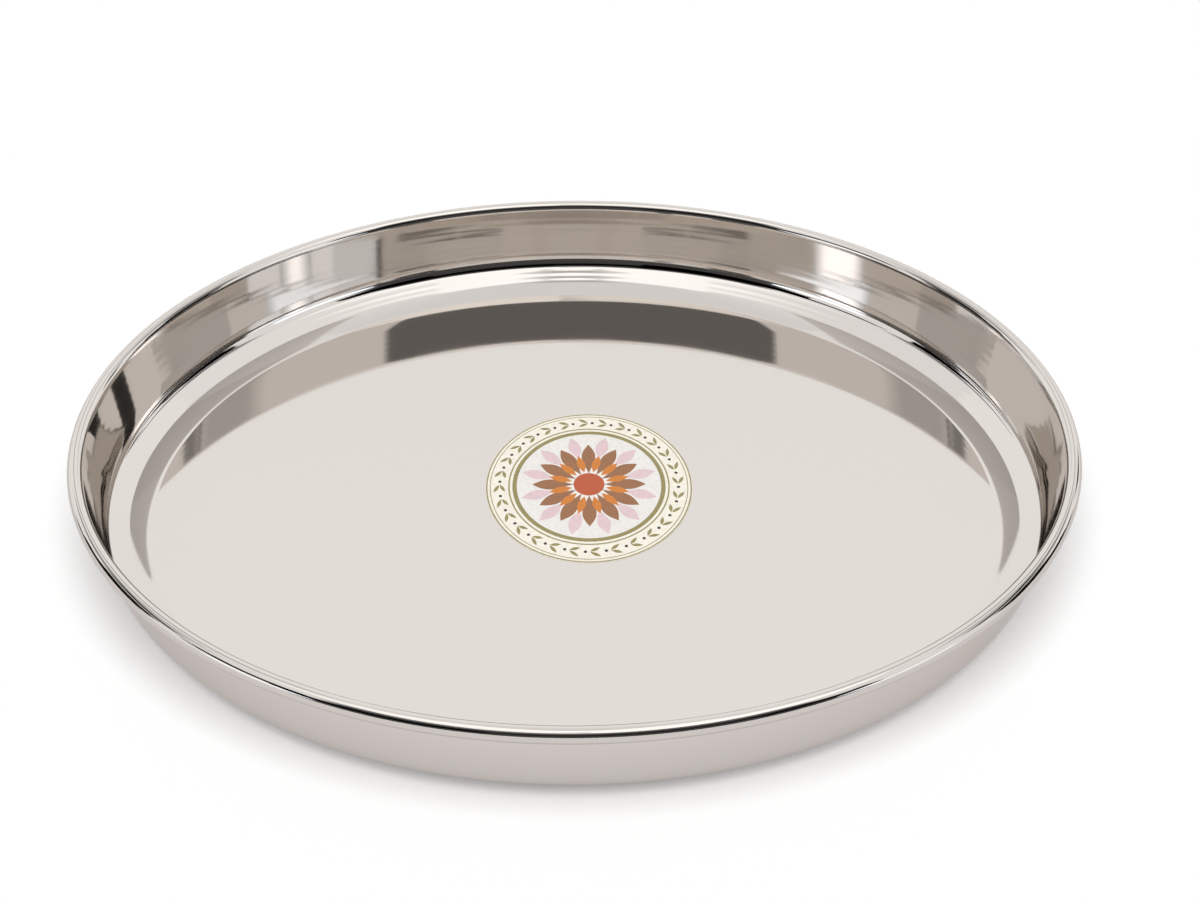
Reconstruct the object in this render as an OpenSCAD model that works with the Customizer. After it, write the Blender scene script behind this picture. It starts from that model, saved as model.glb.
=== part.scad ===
// Round serving plate, pressed from one sheet of stainless steel, with an oval label on its floor.
// The sheet runs from a flat floor over a sloping shoulder into a wall that leans outward, and its
// edge is rolled outward into a hollow bead. Millimetres, +Z up, the underside on z = 0, the axis
// on Z.

/* [Plate] */
// Diameter over the rolled rim
plate_d = 266.7; // [200:0.1:330]
// Height from the table to the top of the rim
plate_h = 26.5; // [22:0.1:42]
// Thickness of the steel sheet
sheet_t = 0.6; // [0.4:0.05:0.9]
// Lean of the wall outward from upright, in degrees
wall_lean = 10; // [0:0.5:20]

/* [Shoulder] */
// Height of the shoulder that slopes from the floor up to the foot of the wall
shoulder_h = 5.7; // [4.5:0.1:9]
// Slope of the shoulder, in degrees
shoulder_slope = 30; // [20:0.5:45]
// Inside radius of the bend from the floor to the shoulder
floor_bend_r = 15; // [4:0.5:20]
// Inside radius of the bend from the shoulder to the wall
wall_bend_r = 6; // [2:0.1:8]

/* [Rolled rim] */
// Outside diameter of the rolled bead
bead_d = 4; // [3.4:0.1:6]
// Gap that is left between the tucked edge of the roll and the wall
curl_gap = 0.4; // [0.2:0.05:0.7]

/* [Label] */
// Width of the label, left to right
label_w = 57; // [30:1:90]
// Length of the label, front to back
label_l = 75; // [30:1:110]
// Thickness of the printed face
film_t = 0.12; // [0.06:0.01:0.3]
// Thickness of the adhesive under the face
adhesive_t = 0.05; // [0.03:0.01:0.1]
// Distance of the label's centre to the right of the plate's axis
label_x = 4; // [-30:1:30]
// Distance of the label's centre behind the plate's axis
label_y = 3; // [-30:1:30]

/* [Hidden] */
$fn = 144;
// Facets of the section's own small arcs, which need fewer than a turn around the axis
arc_fn = 36;

// Depth to which outlines that touch run into each other, so that they join in one solid
weld = 0.004;
bead_r = bead_d / 2;

function polar(length, angle) = length * [cos(angle), sin(angle)];

// The section is drawn with the distance from the axis as x and the height as y.
// Slope of the wall, and unit vectors up it and square to it towards the inside of the plate
wall_slope = 90 - wall_lean;
up_wall = polar(1, wall_slope);
off_wall = polar(1, wall_slope + 90);
// Middle of the rolled bead, whose outside carries on from the inside of the wall
bead_c = [plate_d / 2 - bead_r, plate_h - bead_r];
// Angles seen from the middle of the bead: where the wall comes in, how far the roll runs on into
// the wall, and where the tucked edge stops short of it
wall_angle = 180 - wall_lean;
run_on = acos(1 - weld / (bead_r - sheet_t)) / 2;
tuck_angle = wall_angle + acos((bead_r - sheet_t - curl_gap) / bead_r);

// Upper end of the wall's face that lies the given depth below its inside face
function wall_head(depth) = bead_c + (bead_r - depth - weld) * off_wall;

// Corners that the inside face would have without its bends, at the foot of the wall and at the
// edge of the floor
foot_y = sheet_t + shoulder_h;
wall_foot = [wall_head(0).x - (wall_head(0).y - foot_y) * tan(wall_lean), foot_y];
floor_edge = wall_foot - [shoulder_h / tan(shoulder_slope), shoulder_h];

// A corner between two slopes of the inside face, moved out by the given depth of sheet
function outer_corner(corner, slope, next, depth) =
    corner + depth * (polar(1, slope - 90) + polar(tan((next - slope) / 2), slope));

// What a bend of the given inside radius leaves off the corner between two slopes
module bend_waste(corner, slope, next, radius, depth) {
    start = corner - polar(radius * tan((next - slope) / 2), slope);
    reach = 2 * (radius + depth);
    rays = [slope, (slope + next) / 2, next];
    translate(start + polar(radius, slope + 90)) difference() {
        polygon(concat([[0, 0]], [for (angle = rays) polar(reach, angle - 90)]));
        circle(r = radius + depth + weld, $fn = arc_fn);
    }
}

// The inside of the plate, grown by the given depth of sheet. The wall's face runs on past its head
// by the given rise, and the top's points close the outline above it.
module bowl_section(depth, rise, top) {
    difference() {
        polygon(concat([
            [0, sheet_t - depth],
            outer_corner(floor_edge, 0, shoulder_slope, depth),
            outer_corner(wall_foot, shoulder_slope, wall_slope, depth),
            wall_head(depth),
            wall_head(depth) + rise * up_wall
        ], top));
        bend_waste(floor_edge, 0, shoulder_slope, floor_bend_r, depth);
        bend_waste(wall_foot, shoulder_slope, wall_slope, wall_bend_r, depth);
    }
}

// The hollow roll at the rim, open between the wall and the tucked edge
module curl_section() {
    reach = 2 * bead_r;
    opening = [wall_angle + run_on, (wall_angle + tuck_angle) / 2, tuck_angle];
    translate(bead_c) difference() {
        circle(r = bead_r, $fn = arc_fn);
        circle(r = bead_r - sheet_t, $fn = arc_fn);
        polygon(concat([[0, 0]], [for (angle = opening) polar(reach, angle)]));
    }
}

module plate_body() {
    color([0.78, 0.76, 0.74]) rotate_extrude() difference() {
        union() {
            bowl_section(sheet_t, sheet_t / 2, [wall_head(0), [0, wall_head(0).y]]);
            curl_section();
        }
        bowl_section(0, plate_h, [[0, 2 * plate_h]]);
    }
}

// An oval layer of the label, from the given height up
module label_layer(bottom, thickness) {
    translate([label_x, label_y, bottom])
        linear_extrude(thickness)
            scale([1, label_l / label_w])
                circle(d = label_w);
}

module label_adhesive() {
    color([0.9, 0.86, 0.7]) label_layer(sheet_t, adhesive_t);
}

module label_film() {
    color([0.93, 0.87, 0.72]) label_layer(sheet_t + adhesive_t, film_t);
}

plate_body();
label_film();
label_adhesive();
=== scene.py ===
"""A round steel serving plate with a rolled rim and an oval paper label, in a plain white studio."""

import math

import bpy
from mathutils import Matrix, Vector


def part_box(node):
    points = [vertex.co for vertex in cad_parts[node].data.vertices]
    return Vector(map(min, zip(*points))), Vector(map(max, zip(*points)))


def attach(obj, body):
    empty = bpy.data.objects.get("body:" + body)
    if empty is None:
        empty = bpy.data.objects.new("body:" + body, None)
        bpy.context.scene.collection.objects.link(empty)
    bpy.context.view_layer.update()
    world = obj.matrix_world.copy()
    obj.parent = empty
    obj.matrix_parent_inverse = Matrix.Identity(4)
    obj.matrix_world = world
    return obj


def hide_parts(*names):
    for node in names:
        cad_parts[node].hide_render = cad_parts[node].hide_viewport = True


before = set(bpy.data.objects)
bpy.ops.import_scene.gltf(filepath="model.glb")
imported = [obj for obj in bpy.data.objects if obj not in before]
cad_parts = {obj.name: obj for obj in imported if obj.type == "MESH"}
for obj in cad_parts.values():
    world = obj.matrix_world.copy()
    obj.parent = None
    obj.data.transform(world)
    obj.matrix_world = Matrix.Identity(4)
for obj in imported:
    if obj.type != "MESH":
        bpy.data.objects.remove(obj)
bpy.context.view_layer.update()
scene = bpy.context.scene

MM = 0.001
TURN = 2 * math.pi
SQUARE = math.pi / 2

# Section of the plate, in metres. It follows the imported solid, with finer bends.
SHEET = 0.6 * MM
WALL_SLOPE = math.radians(80)
SHOULDER_H = 5.7 * MM
SHOULDER_SLOPE = math.radians(30)
# The bend from the floor to the shoulder, as radii and turns: a tight one at the floor's edge, a ring
# that is nearly straight, and a slow one into the shoulder
FLOOR_BENDS = (
    (2.5 * MM, math.radians(22.5)),
    (80 * MM, math.radians(3.5)),
    (15 * MM, math.radians(4)),
)
# The bend up into the wall, as radii and turns: tight at the shoulder, and easing into the wall
WALL_BENDS = (
    (2 * MM, math.radians(32)),
    (10 * MM, math.radians(14)),
    (40 * MM, math.radians(4)),
)
# The bend by which the wall leans out a little more just under the bead
RIM_BEND_R = 8 * MM
RIM_TURN = math.radians(6)
BEAD_R = 2 * MM
# Gap between the tucked edge of the roll and the wall
CURL_GAP = 0.4 * MM
# Faint waves that forming leaves: their count along a straight run and their height
SHOULDER_WAVES, SHOULDER_RIPPLE = 2, 0.006 * MM
WALL_WAVES, WALL_RIPPLE = 5, 0.002 * MM
plate_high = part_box("plate_body")[1]
PLATE_R = min(plate_high.x, plate_high.y)
PLATE_H = plate_high.z

# Steps around the plate, across the floor, along a plain run, in a wave, and in a bend: the least
# count, and the degrees that each further step turns
SEGMENTS = 256
FLOOR_STEPS = 24
RUN_STEPS = 6
WAVE_STEPS = 12
BEND_STEPS, BEND_STEP = 6, 3
CURL_STEPS, CURL_INSIDE_STEPS = 60, 36
# Edges sharper than this are not shaded smooth
STEEL_EDGE_ANGLE = math.radians(40)
LABEL_EDGE_ANGLE = math.radians(30)

# Label, from its packed film
film_low, film_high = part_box("label_film")
LABEL_C = (film_low + film_high) / 2
LABEL_A = (film_high.x - film_low.x) / 2
LABEL_B = (film_high.y - film_low.y) / 2
LABEL_STEPS = 180
INK = 0.008 * MM
INK_LAYERS = 4
PRINT_Z = film_high.z - INK_LAYERS * INK
PAPER_EDGE_R = 0.02 * MM
PETALS = 12
BORDER_LEAVES = 28
BORDER_SLANT = math.radians(28)

# The photograph's camera: the pixel of its optical axis, its focal length in pixels and its pose
PHOTO_W, PHOTO_H = 1200, 902
AXIS_X, AXIS_Y = 574.3, 455.7
FOCAL = 2000
SENSOR_W = 36
VIEW_ELEVATION = math.radians(32.26)
VIEW_ROLL = math.radians(-0.37)
VIEW_DISTANCE = 0.544
VIEW_TARGET = Vector((0, 0, 0.012))

# Share of the light on paper and floor that comes evenly from all sides. The rest comes from a broad
# lamp on the camera's side.
ROOM_LIGHT = 0.25
LAMP_ELEVATION = math.radians(62)
LAMP_SPREAD = math.radians(50)

# Studio floor: half its width, its height, its grey, and the light that lifts it to white in the picture
FLOOR_HALF = 4
FLOOR_Z = -0.02 * MM
FLOOR_GREY = (0.88, 0.88, 0.88, 1)
FLOOR_FILL = 0.12
# Painted shadow of the plate on the table, as the outside of the wall mirrors it, given as distances from
# the axis
# and levels of light: dark where the plate stands, and paler outward
TABLE_Z = 0.05 * MM
TABLE_STEPS = 96
TABLE_SHADE = ((114.2 * MM, 0.1), (118 * MM, 0.42), (125 * MM, 0.8), (140 * MM, 1), (600 * MM, 1))
# Cards around the plate: their usual distance and steps, and the colours of their light
CARD_DISTANCE = 10
CARD_STEPS, CARD_ROWS = 48, 8
WHITE = (1, 1, 1, 1)
COOL = (0.91, 1, 1.1, 1)
WARM = (1.04, 1, 0.96, 1)
TABLE_TINT = (0.86, 0.84, 0.845, 1)
# Count of mirrors in a ray's path above which its image is a second or later one
FIRST_IMAGE = 1.5

STEEL = (0.70, 0.66, 0.625, 1)
STEEL_EDGE = (0.82, 0.80, 0.78, 1)
STEEL_ROUGHNESS = (0.04, 0.07)
# Colours of the label, as 8-bit display values
CREAM = (246, 240, 226)
OLIVE = (146, 134, 82)
PALE = (238, 234, 229)
PINK = (226, 199, 203)
BROWN = (150, 101, 64)
ORANGE = (210, 124, 34)
RED = (186, 82, 36)
BLACK = (38, 34, 32)
GLUE = (214, 204, 172)
# Surface of paper and ink
PRINT_MOTTLE = 0.06
PAPER_ROUGHNESS, GLUE_ROUGHNESS = 0.42, 0.3
GRAIN_DEPTH, GRAIN_STRENGTH = 0.004 * MM, 0.3
# Range in which most values of a noise lie
NOISE_LOW, NOISE_HIGH = 0.3, 0.7


# Section drawing: points are (distance from the axis, height)

def polar(length, angle):
    return Vector((length * math.cos(angle), length * math.sin(angle)))


def arc(middle, radius, start, end, steps):
    return [middle + polar(radius, start + (end - start) * i / steps) for i in range(steps + 1)]


def between(start, end, steps):
    return [start.lerp(end, i / steps) for i in range(1, steps)]


def rippled(start, end, steps, waves, depth):
    """A straight run with the faint waves that forming leaves, which die out towards both ends."""
    along = (end - start).normalized()
    across = Vector((-along.y, along.x))
    points = []
    for i in range(1, steps):
        part = i / steps
        wave = math.sin(TURN * waves * part) * math.sin(math.pi * part)
        points.append(start.lerp(end, part) + depth * wave * across)
    return points


def bend_steps(turn):
    return BEND_STEPS + round(abs(math.degrees(turn)) / BEND_STEP)


def sheet_face(start, moves, depth):
    """Points of the sheet's face that lies the given depth below its inside face, from the floor's edge
    up. A move is a bend, as its inside radius and its turn, or a straight run, as its length, no turn,
    the count of its faint waves and their height."""
    slope = 0
    points = [start + polar(depth, -SQUARE)]
    for size, turn, waves, ripple in moves:
        if turn:
            side = math.copysign(SQUARE, turn)
            radius = size + math.copysign(depth, turn)
            middle = points[-1] + polar(radius, slope + side)
            points += arc(middle, radius, slope - side, slope - side + turn, bend_steps(turn))[1:]
            slope += turn
        else:
            end = points[-1] + polar(size, slope)
            steps = RUN_STEPS if depth else WAVE_STEPS * waves
            points += rippled(points[-1], end, steps, waves, 0 if depth else ripple) + [end]
    return points


def plate_section():
    """The sheet's outline from the middle of the floor, over the rim, to the middle of the underside."""
    bead = Vector((PLATE_R - BEAD_R, PLATE_H - BEAD_R))
    head = bead + polar(BEAD_R, WALL_SLOPE + SQUARE)
    foot = head - polar((head.y - SHEET - SHOULDER_H) / math.sin(WALL_SLOPE), WALL_SLOPE)
    edge = foot - polar(SHOULDER_H / math.sin(SHOULDER_SLOPE), SHOULDER_SLOPE)
    floor_bends = [(radius, turn, 0, 0) for radius, turn in FLOOR_BENDS]
    wall_bends = [(radius, turn, 0, 0) for radius, turn in WALL_BENDS]
    rim_bend = (RIM_BEND_R, -RIM_TURN, 0, 0)
    over_bends = sheet_face(Vector((0, 0)), floor_bends, 0)[-1]
    start = edge + polar(over_bends.y / math.sin(SHOULDER_SLOPE), SHOULDER_SLOPE) - over_bends

    def moves(shoulder, wall):
        return (floor_bends + [(shoulder, 0, SHOULDER_WAVES, SHOULDER_RIPPLE)]
                + wall_bends + [(wall, 0, WALL_WAVES, WALL_RIPPLE), rim_bend])

    # The two straight runs are as long as it takes to arrive at the bead
    rim_angle = WALL_SLOPE - RIM_TURN + SQUARE
    left = bead + polar(BEAD_R, rim_angle) - sheet_face(start, moves(0, 0), 0)[-1]
    along_shoulder, along_wall = polar(1, SHOULDER_SLOPE), polar(1, WALL_SLOPE)
    spread = along_shoulder.cross(along_wall)
    path = moves(left.cross(along_wall) / spread, along_shoulder.cross(left) / spread)
    inside = sheet_face(start, path, 0)
    outside = sheet_face(start, path, SHEET)
    tuck_angle = WALL_SLOPE + SQUARE - TURN + math.acos((BEAD_R - SHEET - CURL_GAP) / BEAD_R)
    curl = (arc(bead, BEAD_R, rim_angle, tuck_angle, CURL_STEPS)[1:]
            + arc(bead, BEAD_R - SHEET, tuck_angle, rim_angle, CURL_INSIDE_STEPS)[:-1])
    middle_top, middle_under = Vector((0, SHEET)), Vector((0, 0))
    return ([middle_top] + between(middle_top, start, FLOOR_STEPS) + inside + curl + outside[::-1]
            + between(outside[0], middle_under, RUN_STEPS) + [middle_under])


# Mesh makers

def add_mesh(name, vertices, faces, material, smooth_angle=math.pi):
    mesh = bpy.data.meshes.new(name)
    mesh.from_pydata(vertices, [], faces)
    mesh.materials.append(material)
    mesh.shade_smooth()
    mesh.set_sharp_from_angle(angle=smooth_angle)
    piece = bpy.data.objects.new(name, mesh)
    scene.collection.objects.link(piece)
    return piece


def band(loop, following):
    """Faces between two closed loops of points. At a pole, where one loop is a single point, they are
    triangles."""
    faces = []
    for i in range(len(loop)):
        j = (i + 1) % len(loop)
        faces.append(list(dict.fromkeys([loop[i], loop[j], following[j], following[i]])))
    return faces


def turned(section, steps, place):
    """Points and faces of a closed solid of revolution. The section starts at the top of the axis and
    ends at its bottom, and place gives the point at a radius, an angle and a height."""
    vertices, loops = [], []
    for radius, height in section:
        count = steps if radius > 0 else 1
        loops.append([len(vertices) + i % count for i in range(steps)])
        vertices += [place(radius, TURN * i / steps, height) for i in range(count)]
    faces = []
    for loop, following in zip(loops, loops[1:]):
        faces += band(following, loop)
    return vertices, faces


def on_plate(radius, angle, height):
    x, y = polar(radius, angle)
    return x, y, height


# Materials

def principled(name):
    material = bpy.data.materials.new(name)
    material.use_nodes = True
    nodes = material.node_tree.nodes
    return material, nodes, material.node_tree.links, nodes["Principled BSDF"]


def noise(nodes, links, scale, detail):
    """Noise fixed to the piece, in turns per metre."""
    place = nodes.new("ShaderNodeTexCoord")
    texture = nodes.new("ShaderNodeTexNoise")
    texture.inputs["Scale"].default_value = scale
    texture.inputs["Detail"].default_value = detail
    links.new(place.outputs["Object"], texture.inputs["Vector"])
    return texture.outputs["Fac"]


def steel_material():
    """Mirror-polished stainless steel with a slightly uneven gloss."""
    material, nodes, links, shader = principled("polished_steel")
    shader.inputs["Base Color"].default_value = STEEL
    shader.inputs["Metallic"].default_value = 1
    shader.inputs["Specular Tint"].default_value = STEEL_EDGE
    gloss = nodes.new("ShaderNodeMapRange")
    gloss.inputs["From Min"].default_value = NOISE_LOW
    gloss.inputs["From Max"].default_value = NOISE_HIGH
    gloss.inputs["To Min"].default_value, gloss.inputs["To Max"].default_value = STEEL_ROUGHNESS
    links.new(noise(nodes, links, scale=35, detail=3), gloss.inputs["Value"])
    links.new(gloss.outputs["Result"], shader.inputs["Roughness"])
    return material


def linear(colour):
    """Display values from 0 to 255 as the linear colour that a shader takes."""
    parts = [part / 255 for part in colour]
    return [part / 12.92 if part <= 0.04045 else ((part + 0.055) / 1.055) ** 2.4 for part in parts]


def printed_material(name, colour, roughness=PAPER_ROUGHNESS):
    """Ink or paper: a colour with a fine mottle and the grain of the paper under it."""
    material, nodes, links, shader = principled(name)
    ramp = nodes.new("ShaderNodeValToRGB")
    dark, pale = ramp.color_ramp.elements
    dark.color = [part * (1 - PRINT_MOTTLE) for part in linear(colour)] + [1]
    dark.position = NOISE_LOW
    pale.color = [min(1, part * (1 + PRINT_MOTTLE)) for part in linear(colour)] + [1]
    pale.position = NOISE_HIGH
    links.new(noise(nodes, links, scale=900, detail=4), ramp.inputs["Fac"])
    links.new(ramp.outputs["Color"], shader.inputs["Base Color"])
    grain = nodes.new("ShaderNodeBump")
    grain.inputs["Distance"].default_value = GRAIN_DEPTH
    grain.inputs["Strength"].default_value = GRAIN_STRENGTH
    links.new(noise(nodes, links, scale=4000, detail=2), grain.inputs["Height"])
    links.new(grain.outputs["Normal"], shader.inputs["Normal"])
    shader.inputs["Roughness"].default_value = roughness
    return material


# Label. Its layout is drawn on a disc of radius 1, as (distance from the middle, turn), and stretched
# to the oval. A shape is a list of outlines: its edge, and its hole if it has one.

def on_label(radius, angle, height):
    return (LABEL_C.x + LABEL_A * radius * math.cos(angle),
            LABEL_C.y + LABEL_B * radius * math.sin(angle), height)


def label_face(material):
    """The paper: an oval sheet with a slightly rounded upper edge."""
    section = [(0, PRINT_Z), (1 - PAPER_EDGE_R / LABEL_A, PRINT_Z), (1, PRINT_Z - PAPER_EDGE_R),
               (1, film_low.z), (0, film_low.z)]
    vertices, faces = turned(section, LABEL_STEPS, on_label)
    return add_mesh("label_face", vertices, faces, material, LABEL_EDGE_ANGLE)


def circle(radius, steps=LABEL_STEPS):
    return [(radius, TURN * i / steps) for i in range(steps)]


def ring(inner, outer):
    return [circle(outer), circle(inner)]


def leaf(radius, angle, heading, length, width, blunt=1.0, steps=14):
    """A leaf that starts at the given place and points along the heading, which is 0 outward. It is
    widest towards its tip where blunt is above 1."""
    outline = []
    for side in (-1, 1):
        for i in range(steps):
            along = i / steps if side < 0 else 1 - i / steps
            ahead = length * along
            across = side * width * math.sin(math.pi * along ** blunt)
            out = radius + ahead * math.cos(heading) - across * math.sin(heading)
            aside = ahead * math.sin(heading) + across * math.cos(heading)
            outline.append((math.hypot(out, aside), angle + math.atan2(aside, out)))
    return [outline]


def petals(start, end, width, blunt, offset=0.0):
    """A ring of leaves that point outward. The offset turns it by a share of their spacing."""
    return [leaf(start, TURN * (i + offset) / PETALS, 0, end - start, width, blunt)
            for i in range(PETALS)]


def dot(radius, angle, size, steps=20):
    outline = []
    for i in range(steps):
        x, y = Vector((radius, 0)) + polar(size, TURN * i / steps)
        outline.append((math.hypot(x, y), angle + math.atan2(y, x)))
    return [outline]


def finish_label_piece(piece):
    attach(piece, "root")
    piece.visible_glossy = False


def print_ink(name, colour, layer, shapes):
    """One ink: every shape is a thin closed plate that stands in the paper and ends at the layer's top."""
    low, high = PRINT_Z - INK / 2, PRINT_Z + layer * INK
    vertices, faces = [], []
    for outlines in shapes:
        loops = []
        for outline in outlines:
            for height in (low, high):
                loops.append([len(vertices) + i for i in range(len(outline))])
                vertices += [on_label(radius, angle, height) for radius, angle in outline]
        edge_low, edge_high = loops[:2]
        faces += band(edge_low, edge_high)
        if len(outlines) > 1:
            hole_low, hole_high = loops[2:]
            faces += band(hole_high, hole_low) + band(edge_high, hole_high) + band(hole_low, edge_low)
        else:
            faces += [edge_high, edge_low[::-1]]
    finish_label_piece(add_mesh(name, vertices, faces, printed_material(name, colour), LABEL_EDGE_ANGLE))


def label_print():
    """A round flower on a pale ground, in a border of small leaves between thin rings."""
    rings = [ring(0.983, 0.996), ring(0.952, 0.960), ring(0.768, 0.782), ring(0.70, 0.742)]
    leaves, dots = [], []
    for i in range(BORDER_LEAVES):
        angle = TURN * i / BORDER_LEAVES
        leaves.append(leaf(0.868, angle, SQUARE - BORDER_SLANT, 0.115, 0.017, steps=12))
        leaves.append(leaf(0.862, angle, SQUARE + BORDER_SLANT, 0.105, 0.017, steps=12))
        dots.append(dot(0.866, angle - 0.05, 0.016))
    print_ink("print_ground", PALE, 1, [[circle(0.70)]])
    print_ink("print_olive", OLIVE, 1, rings + leaves)
    print_ink("print_black", BLACK, 1, dots)
    print_ink("print_pink", PINK, 2, petals(0.36, 0.67, 0.062, 1.1, offset=0.5))
    print_ink("print_brown", BROWN, 3, petals(0.14, 0.55, 0.068, 1.3))
    print_ink("print_orange", ORANGE, 4, petals(0.17, 0.40, 0.040, 1.0, offset=0.5))
    print_ink("print_red", RED, 4, [[circle(0.15, steps=60)]])


# Studio

def card_material(name, colour, images="all"):
    """Light of a card: its strength is the value that the card's points carry. A card for later images is
    dark in the first mirror image, and a card for the first image is plain white in later ones."""
    material = bpy.data.materials.new(name)
    material.use_nodes = True
    nodes, links = material.node_tree.nodes, material.node_tree.links
    nodes.clear()
    output = nodes.new("ShaderNodeOutputMaterial")
    glow = nodes.new("ShaderNodeEmission")
    glow.inputs["Color"].default_value = colour
    level = nodes.new("ShaderNodeAttribute")
    level.attribute_name = "glow"
    strength = level.outputs["Fac"]
    if images != "all":
        path = nodes.new("ShaderNodeLightPath")
        later = nodes.new("ShaderNodeMath")
        later.operation = "GREATER_THAN"
        later.inputs[1].default_value = FIRST_IMAGE
        links.new(path.outputs["Glossy Depth"], later.inputs[0])
        pick = nodes.new("ShaderNodeMix")
        first_level, later_level = pick.inputs["A"], pick.inputs["B"]
        first_level.default_value, later_level.default_value = 0, 1
        links.new(later.outputs[0], pick.inputs["Factor"])
        links.new(strength, first_level if images == "first" else later_level)
        strength = pick.outputs["Result"]
    links.new(strength, glow.inputs["Strength"])
    links.new(glow.outputs["Emission"], output.inputs["Surface"])
    return material


def add_mirror_only(name, vertices, faces, levels, material):
    """A glowing piece of the studio that only mirrors show, with the level of light at each point."""
    piece = add_mesh(name, vertices, faces, material)
    piece.data.attributes.new("glow", "FLOAT", "POINT").data.foreach_set("value", levels)
    piece.visible_camera = False
    piece.visible_diffuse = False
    piece.visible_shadow = False


def ends(value):
    """A value that is given once for both ends, or a pair, as a pair."""
    return value if isinstance(value, tuple) else (value, value)


def part_way(pair, part):
    return pair[0] + (pair[1] - pair[0]) * part


def card(name, azimuth, low, high, glow, material, soft=0, distance=CARD_DISTANCE, steps=CARD_STEPS,
         rounded=0):
    """A curved screen around the plate that only mirrors show, in degrees. Azimuth 0 is the camera's
    side. The lower and upper edges run between the elevations at its two ends. The glow changes evenly
    from the lower edge to the upper one, and over the soft part of its width it fades into plain white.
    Over the rounded part of its width, its ends are rounded."""
    low, high, glow = ends(low), ends(high), ends(glow)
    vertices, faces, levels = [], [], []
    for k in range(CARD_ROWS + 1):
        for i in range(steps + 1):
            bottom, top = part_way(low, i / steps), part_way(high, i / steps)
            inset = min(i, steps - i) / steps
            cut = 1 - min(1, inset / rounded) if rounded else 0
            share = (k / CARD_ROWS - 0.5) * math.sqrt(1 - cut * cut)
            tilt = math.radians((bottom + top) / 2 + (top - bottom) * share)
            turn = math.radians(part_way(azimuth, i / steps))
            vertices.append((distance * math.cos(tilt) * math.sin(turn),
                             -distance * math.cos(tilt) * math.cos(turn),
                             distance * math.sin(tilt)))
            weight = min(1, inset / soft) if soft else 1
            levels.append(1 + weight * (part_way(glow, k / CARD_ROWS) - 1))
    row = steps + 1
    for k in range(CARD_ROWS):
        for i in range(steps):
            corner = k * row + i
            faces.append([corner, corner + 1, corner + 1 + row, corner + row])
    add_mirror_only(name, vertices, faces, levels, material)


# A glowing ring on the table that only mirrors show, with the plate's shadow painted into its levels of
# light
def painted_table_shadow_ring():
    vertices, faces, loops, levels = [], [], [], []
    for radius, level in TABLE_SHADE:
        loops.append([len(vertices) + i for i in range(TABLE_STEPS)])
        vertices += [on_plate(radius, TURN * i / TABLE_STEPS, TABLE_Z) for i in range(TABLE_STEPS)]
        levels += [level] * TABLE_STEPS
    for loop, following in zip(loops, loops[1:]):
        faces += band(following, loop)
    add_mirror_only("painted_table_shadow_ring", vertices, faces, levels, card_material("card_painted_table_shadow", TABLE_TINT))


def studio_floor():
    material, nodes, links, shader = principled("studio_white")
    shader.inputs["Base Color"].default_value = FLOOR_GREY
    shader.inputs["Roughness"].default_value = 1
    shader.inputs["Specular IOR Level"].default_value = 0
    path = nodes.new("ShaderNodeLightPath")
    seen = path.outputs["Is Camera Ray"]
    for kind in ("Is Glossy Ray", "Is Transmission Ray"):
        either = nodes.new("ShaderNodeMath")
        either.operation = "MAXIMUM"
        links.new(seen, either.inputs[0])
        links.new(path.outputs[kind], either.inputs[1])
        seen = either.outputs[0]
    fill = nodes.new("ShaderNodeMath")
    fill.operation = "MULTIPLY"
    fill.inputs[1].default_value = FLOOR_FILL
    links.new(seen, fill.inputs[0])
    shader.inputs["Emission Color"].default_value = WHITE
    links.new(fill.outputs[0], shader.inputs["Emission Strength"])
    corners = [(FLOOR_HALF * x, FLOOR_HALF * y, FLOOR_Z) for x, y in ((-1, -1), (1, -1), (1, 1), (-1, 1))]
    add_mesh("studio_floor", corners, [[0, 1, 2, 3]], material)


def studio_light():
    world = bpy.data.worlds.new("studio")
    world.use_nodes = True
    nodes, links = world.node_tree.nodes, world.node_tree.links
    background = nodes["Background"]
    background.inputs["Color"].default_value = WHITE
    path = nodes.new("ShaderNodeLightPath")
    level = nodes.new("ShaderNodeMapRange")
    level.inputs["To Min"].default_value = 1
    level.inputs["To Max"].default_value = ROOM_LIGHT
    links.new(path.outputs["Diffuse Depth"], level.inputs["Value"])
    links.new(level.outputs["Result"], background.inputs["Strength"])
    scene.world = world
    lamp = bpy.data.lights.new("front_light", "SUN")
    lamp.angle = LAMP_SPREAD
    lamp.energy = (1 - ROOM_LIGHT) * math.pi / math.sin(LAMP_ELEVATION)
    front_light = bpy.data.objects.new("front_light", lamp)
    scene.collection.objects.link(front_light)
    front_light.rotation_euler.x = SQUARE - LAMP_ELEVATION
    front_light.visible_glossy = False


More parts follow.
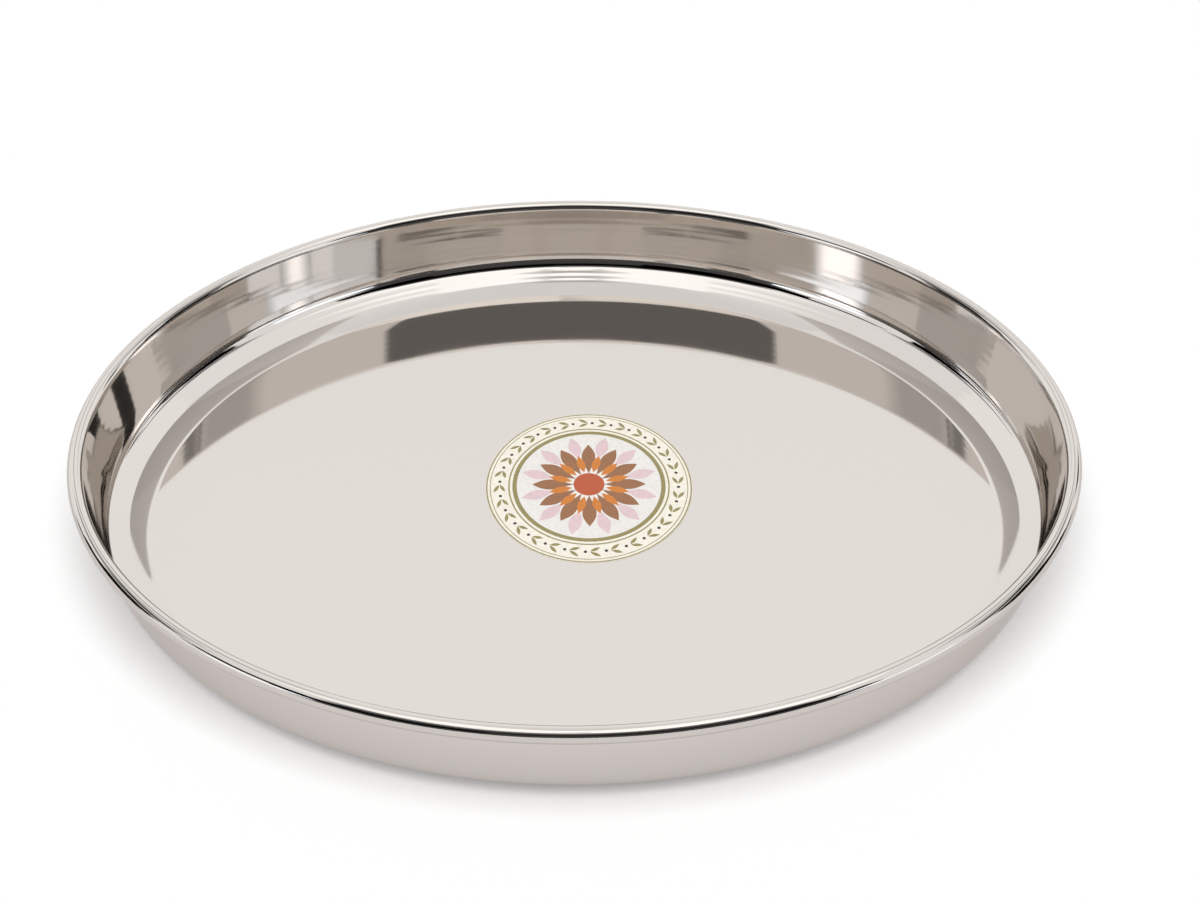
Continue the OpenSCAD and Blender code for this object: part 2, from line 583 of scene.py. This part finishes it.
def mirror_cards():
    """Bright and dark cards, where the plate's mirror images ask for them."""
    plain = card_material("card_plain", WHITE)
    plain_later = card_material("card_plain_later", WHITE, "later")
    cool = card_material("card_cool", COOL)
    cool_later = card_material("card_cool_later", COOL, "later")
    warm_first = card_material("card_warm_first", WARM, "first")
    card("backdrop", (110, 250), 2, 42, 1.09, plain, distance=10.6)
    card("front_dark", (-60, 60), 0, 44, (0.08, 0.04), plain, soft=0.05, distance=10.3)
    card("front_grey", (-64.5, 60), 44, 57, 0.21, plain, soft=0.02, steps=300, rounded=0.04)
    card("front_slit", (-18, 5), 22.5, 28.6, 1.05, plain_later)
    card("front_half", (5, 37), 22, 30, 1.2, plain_later)
    card("box_left", (-64, -18), 17, 34, (1.9, 2.1), cool_later)
    card("box_left_core", (-53, -36), 17, 34, (3, 3.4), cool_later, soft=0.4, distance=9.8)
    card("box_left_far", (-86, -60), 22, 36, 1.6, cool_later, distance=10.2)
    card("box_left_low", (-79, -52), 8, 12.5, 2.1, cool, soft=0.1)
    card("box_left_frame", (-88.5, -86), 20, 34, 0.02, plain)
    card("box_right", (37, 64), 18, 34, (3.4, 3.9), cool_later, soft=0.22)
    card("box_right_low", (52, 82), 8, 12.5, 1.8, cool, soft=0.1)
    card("top_left", (-128, 5), 57.5, 75, (1.2, 1.5), plain, soft=0.1)
    card("top_right", (-5, 128), 57.5, 75, 1.5, plain, soft=0.1, distance=10.2)
    card("overhead", (-180, 180), 74, 90, (1.4, 1.5), plain, distance=10.4)
    card("back_upper", (138, 222), 60, 80.2, 0.9, plain, soft=0.15, distance=9.95)
    card("back_high", (138, 222), 80.2, 86, 0.6, plain, soft=0.3, distance=9.9)
    card("glow_right", (112, 146), 42, 66, 1.05, plain, distance=10.6)
    card("wedge", (134, 141.5), 12, 22, 0.04, plain)
    for side, hand in ((-1, "left"), (1, "right")):
        ring_far, ring_near = (side * 139, side * 152), (side * 152, side * 163)
        ring_end, broad = (side * 163, side * 171), (side * 94, side * 126)
        card("ring_far_" + hand, ring_far, (60, 41), (66, 57), (0.5, 0.65), warm_first, distance=9.8)
        card("ring_" + hand, ring_near, (41, 25.5), (57, 36), (0.45, 0.55), warm_first, distance=9.8)
        card("ring_end_" + hand, ring_end, (25.5, 19), (36, 20), (0.5, 0.58), warm_first, distance=9.8)
        card("side_" + hand, (side * 94, side * 121), 8.5, 16.8, 0.75, plain_later, distance=10.2)
        card("low_" + hand, (side * 126, side * 147), 28, (49, 31), 0.35, plain)
        card("dim_" + hand, (side * 100, side * 130), 39, 50, 0.66, plain, soft=0.25)
        card("skirt_" + hand, broad, 0, 8.5, 0.02, plain, soft=0.1)
        card("strip_" + hand, (side * 94, side * 117), 16.9, 25, 0.02, plain, soft=0.1)
        card("shade_" + hand, broad, 28.5, 38, 0.02, plain, soft=0.1)


def photo_camera():
    data = bpy.data.cameras.new("camera")
    data.sensor_width = SENSOR_W
    data.lens = FOCAL / PHOTO_W * SENSOR_W
    data.shift_x = (PHOTO_W / 2 - AXIS_X) / PHOTO_W
    data.shift_y = (AXIS_Y - PHOTO_H / 2) / PHOTO_W
    camera = bpy.data.objects.new("camera", data)
    scene.collection.objects.link(camera)
    ahead = Vector((0, math.cos(VIEW_ELEVATION), -math.sin(VIEW_ELEVATION)))
    tilt = Matrix.Rotation(SQUARE - VIEW_ELEVATION, 4, "X")
    roll = Matrix.Rotation(VIEW_ROLL, 4, "Z")
    camera.matrix_world = Matrix.Translation(VIEW_TARGET - VIEW_DISTANCE * ahead) @ tilt @ roll
    scene.camera = camera


scene.view_settings.view_transform = "Standard"
photo_camera()
studio_floor()
studio_light()
painted_table_shadow_ring()
mirror_cards()

plate_points, plate_faces = turned(plate_section(), SEGMENTS, on_plate)
plate = add_mesh("plate", plate_points, plate_faces, steel_material(), STEEL_EDGE_ANGLE)
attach(plate, "root")
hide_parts("plate_body")

paper = label_face(printed_material("label_paper", CREAM))
finish_label_piece(paper)
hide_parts("label_film")
label_print()

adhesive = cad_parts["label_adhesive"]
adhesive.data.materials.clear()
adhesive.data.materials.append(printed_material("label_glue", GLUE, GLUE_ROUGHNESS))
adhesive.visible_glossy = False
